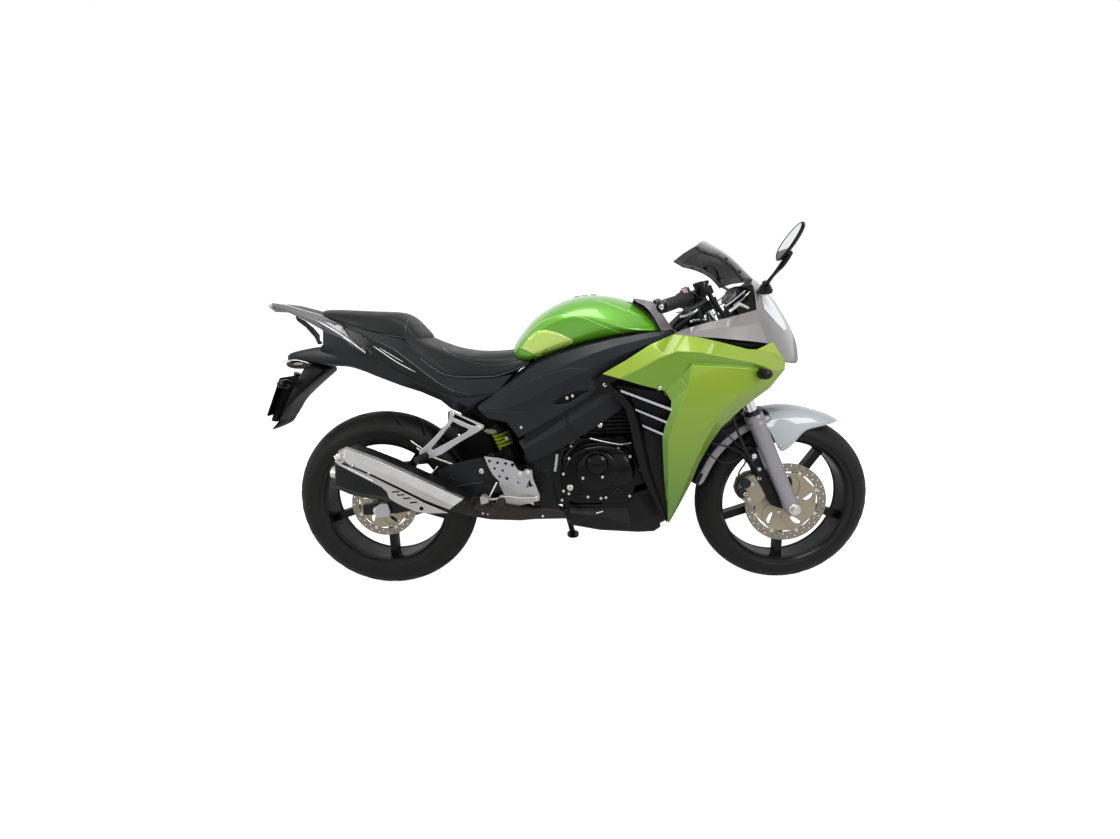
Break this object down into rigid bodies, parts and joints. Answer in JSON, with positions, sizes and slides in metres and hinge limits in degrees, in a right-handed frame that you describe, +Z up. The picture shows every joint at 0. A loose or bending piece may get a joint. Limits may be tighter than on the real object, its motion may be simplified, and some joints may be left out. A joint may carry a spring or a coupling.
{
  "type": "sport motorcycle",
  "caption": "Small faired sport motorcycle leaning on its side stand, with turning wheels, steering and a folding stand.",
  "frame": {"origin": "middle of the bounding box, on the floor it stands on", "axes": "+X forward along the bike, +Y to the rider's left, +Z up from the floor; the bike leans 10 degrees to +Y on its stand"},
  "size_m": [2.0869, 0.8462, 1.2145],
  "materials": {
    "frame_black": "satin",
    "arm_grey": "satin",
    "engine_black": "gloss",
    "cylinder_grey": "satin",
    "radiator_black": "satin",
    "pipe_steel": "satin",
    "silencer_black": "satin",
    "shield_silver": "satin",
    "tank_green": "gloss",
    "fairing_green": "gloss",
    "panel_black": "satin",
    "seat_black": "satin",
    "cowl_grey": "satin",
    "rail_grey": "satin",
    "plate_dark": "satin",
    "lamp_red": "gloss",
    "indicator_black": "gloss",
    "lens_clear": "gloss",
    "screen_smoke": "gloss",
    "mirror_black": "satin",
    "shock_green": "gloss",
    "bracket_silver": "satin",
    "footrest_silver": "satin",
    "chain_steel": "satin",
    "axle_steel": "satin",
    "fork_grey": "satin",
    "yoke_black": "satin",
    "bar_black": "satin",
    "grip_rubber": "matte",
    "fender_silver": "gloss",
    "caliper_grey": "satin",
    "hose_black": "matte",
    "tyre_rubber": "matte",
    "rim_black": "gloss",
    "disc_steel": "satin",
    "stand_black": "satin"
  },
  "bodies": {
    "chassis": {"frame": "frame_black", "swingarm": "arm_grey", "engine_block": "engine_black", "cylinder": "cylinder_grey", "engine_covers": "engine_black", "radiator": "radiator_black", "exhaust_pipe": "pipe_steel", "silencer": "silencer_black", "silencer_shield": "shield_silver", "fuel_tank": "tank_green", "side_covers": "panel_black", "rider_seat": "seat_black", "pillion_seat": "seat_black", "tail_cowls": "panel_black", "grab_rail": "rail_grey", "rear_fender": "panel_black", "number_plate": "plate_dark", "tail_lamp": "lamp_red", "indicators": "indicator_black", "side_fairings": "fairing_green", "inner_panels": "panel_black", "belly_pan": "panel_black", "upper_cowl": "cowl_grey", "headlamp": "lens_clear", "windscreen": "screen_smoke", "mirrors": "mirror_black", "instruments": "panel_black", "rear_shock": "shock_green", "pillion_brackets": "bracket_silver", "rider_footrests": "footrest_silver", "chain": "chain_steel", "chain_guard": "panel_black", "rear_axle": "axle_steel"},
    "steering": {"fork_legs": "fork_grey", "fork_yokes": "yoke_black", "handlebars": "bar_black", "grips": "grip_rubber", "front_fender": "fender_silver", "front_axle": "axle_steel", "front_caliper": "caliper_grey", "brake_hose": "hose_black"},
    "front_wheel": {"front_tyre": "tyre_rubber", "front_rim": "rim_black", "front_disc": "disc_steel"},
    "rear_wheel": {"rear_tyre": "tyre_rubber", "rear_rim": "rim_black", "rear_disc": "disc_steel", "rear_sprocket": "chain_steel"},
    "side_stand": {"side_stand": "stand_black"}
  },
  "joints": [
    {"name": "steering_head", "type": "hinge", "parent": "chassis", "child": "steering", "pos_m": [0.72309, -0.14749, 0.27757], "axis": [-0.4067, 0.1586, 0.8997], "range_deg": [-32, 32]},
    {"name": "front_wheel_spin", "type": "hinge", "parent": "steering", "child": "front_wheel", "pos_m": [0.7505, -0.14537, 0.28959], "axis": [0, 0.9848, -0.1736], "continuous": true},
    {"name": "rear_wheel_spin", "type": "hinge", "parent": "chassis", "child": "rear_wheel", "pos_m": [-0.6195, -0.14172, 0.31027], "axis": [0, 0.9848, -0.1736], "continuous": true},
    {"name": "side_stand_swing", "type": "hinge", "parent": "chassis", "child": "side_stand", "pos_m": [-0.0195, 0.0016, 0.27078], "axis": [0.0964, 0.9535, 0.2855], "range_deg": [0, 96.6]}
  ]
}
